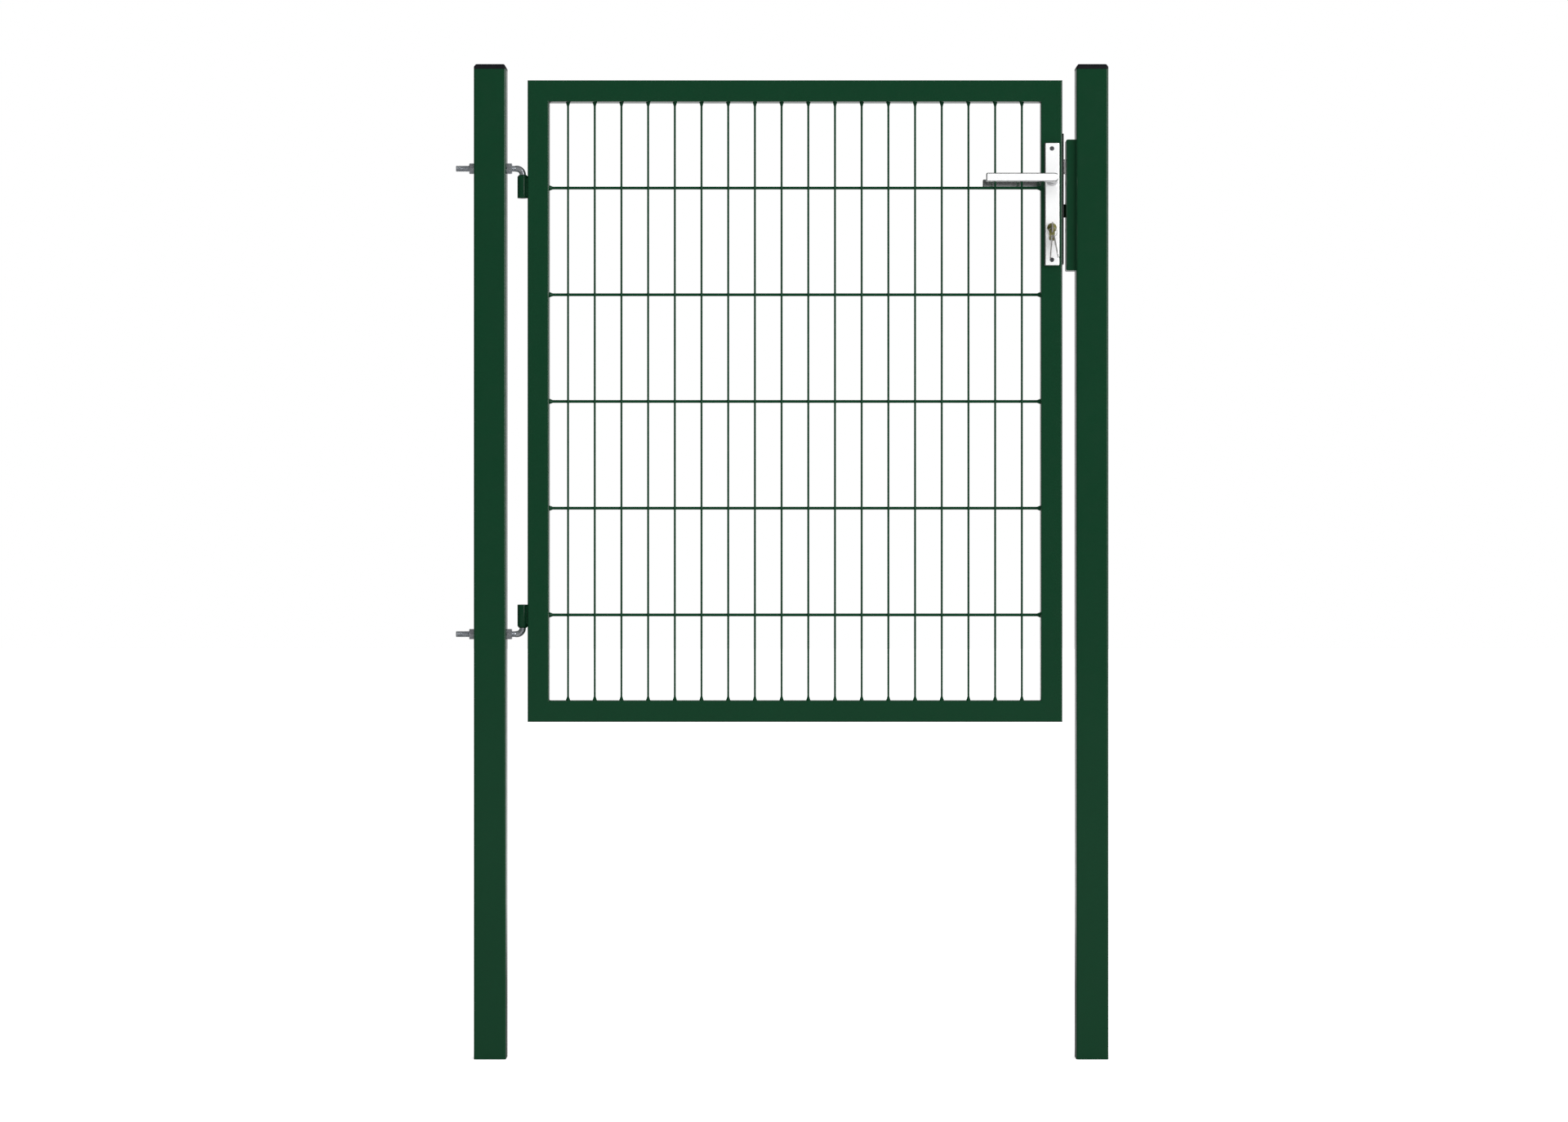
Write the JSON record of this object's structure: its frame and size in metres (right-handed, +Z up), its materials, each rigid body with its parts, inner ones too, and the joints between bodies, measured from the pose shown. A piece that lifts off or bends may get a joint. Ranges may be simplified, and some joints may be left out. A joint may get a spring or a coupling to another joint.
{
  "type": "garden gate",
  "caption": "Single-leaf steel garden gate: welded tube leaf with wire mesh, two capped posts, bolt-on hinges, lever handles, mortise lock with key and keeper.",
  "frame": {"origin": "at the feet of the two posts, half-way along the whole width from the free ends of the hinge bolts to the outer face of the latch post, in the middle plane of the leaf", "axes": "+Z up along the posts, +X from the hinge post to the latch post, +Y to the back; the front faces -Y and the leaf opens that way"},
  "size_m": [1.2204, 0.162, 1.8595],
  "materials": {
    "post_paint": "glossy moss green powder coat over galvanised steel",
    "frame_paint": "glossy moss green powder coat",
    "wire_paint": "glossy moss green powder coat on welded wire",
    "cap_plastic": "black moulded plastic, slightly satin",
    "zinc_steel": "bright zinc plate",
    "plate_aluminium": "fine satin anodised",
    "forend_steel": "brushed stainless steel",
    "latch_steel": "nickel-plated",
    "cylinder_brass": "dull turned brass",
    "key_nickel": "nickel-plated brass, worn",
    "case_steel": "zinc-plated sheet",
    "hardened_steel": "hardened, lightly oiled",
    "spring_steel": "drawn spring wire",
    "bush_plastic": "grey bearing plastic",
    "buffer_rubber": "soft black rubber"
  },
  "bodies": {
    "posts": {"hinge_post": "post_paint", "latch_post": "post_paint", "hinge_post_cap": "cap_plastic", "latch_post_cap": "cap_plastic", "upper_hinge_bolt": "zinc_steel", "lower_hinge_bolt": "zinc_steel", "hinge_outer_nuts": "zinc_steel", "hinge_inner_nuts": "zinc_steel", "keeper": "frame_paint", "keeper_screws": "zinc_steel", "keeper_rivet_nuts": "zinc_steel", "leaf_stop": "frame_paint", "stop_buffer": "buffer_rubber"},
    "gate_leaf": {"hinge_stile": "frame_paint", "lock_stile": "frame_paint", "top_rail": "frame_paint", "bottom_rail": "frame_paint", "upper_hinge_barrel": "frame_paint", "lower_hinge_barrel": "frame_paint", "hinge_welds": "frame_paint", "vertical_wires": "wire_paint", "horizontal_wires": "wire_paint", "mesh_end_welds": "wire_paint", "lock_case": "case_steel", "lock_case_cover": "case_steel", "case_cover_screws": "zinc_steel", "forend": "forend_steel", "forend_screws": "zinc_steel", "forend_rivet_nuts": "zinc_steel", "front_plate": "plate_aluminium", "rear_plate": "plate_aluminium", "plate_screws": "hardened_steel", "plate_sleeve_nuts": "hardened_steel", "handle_bushes": "bush_plastic", "cylinder_body": "cylinder_brass", "cylinder_screw": "zinc_steel", "rear_plug": "cylinder_brass", "rear_key_pins": "cylinder_brass", "driver_pins": "cylinder_brass", "pin_springs": "spring_steel", "follower_spring": "spring_steel"},
    "handles": {"front_handle": "plate_aluminium", "rear_handle": "plate_aluminium", "spindle": "hardened_steel", "handle_grub_screws": "hardened_steel", "follower": "hardened_steel"},
    "latch": {"latch_bolt": "latch_steel"},
    "bolt": {"dead_bolt": "latch_steel"},
    "key_plug": {"front_plug": "cylinder_brass", "front_key_pins": "cylinder_brass", "lock_cam": "hardened_steel", "key": "key_nickel"},
    "ring_keys": {"key_ring": "key_nickel", "spare_keys": "key_nickel"}
  },
  "joints": [
    {"name": "gate_swing", "type": "hinge", "parent": "posts", "child": "gate_leaf", "pos_m": [-0.48525, 0, 1.23], "axis": [0, 0, -1], "range_deg": [0, 90]},
    {"name": "handle_turn", "type": "hinge", "parent": "gate_leaf", "child": "handles", "pos_m": [0.50475, 0, 1.6436], "axis": [0, -1, 0], "range_deg": [0, 40], "stiffness_Nm_per_rad": 1.2, "springref_deg": -22.92},
    {"name": "latch_slide", "type": "slide", "parent": "gate_leaf", "child": "latch", "axis": [-1, 0, 0], "range_m": [0, 0.0125]},
    {"name": "key_turn", "type": "hinge", "parent": "gate_leaf", "child": "key_plug", "pos_m": [0.50475, 0, 1.5536], "axis": [0, 1, 0], "range_deg": [0, 360]},
    {"name": "dead_bolt_slide", "type": "slide", "parent": "gate_leaf", "child": "bolt", "axis": [1, 0, 0], "range_m": [0, 0.02]},
    {"name": "key_ring_swing", "type": "hinge", "parent": "key_plug", "child": "ring_keys", "pos_m": [0.50475, -0.0468, 1.5536], "axis": [-1, 0, 0], "range_deg": [0, 60]}
  ],
  "couplings": [
    {"joint": "latch_slide", "follows": "handle_turn", "m_per_rad": 0.0179},
    {"joint": "dead_bolt_slide", "follows": "key_turn", "m_per_rad": 0.00318}
  ]
}
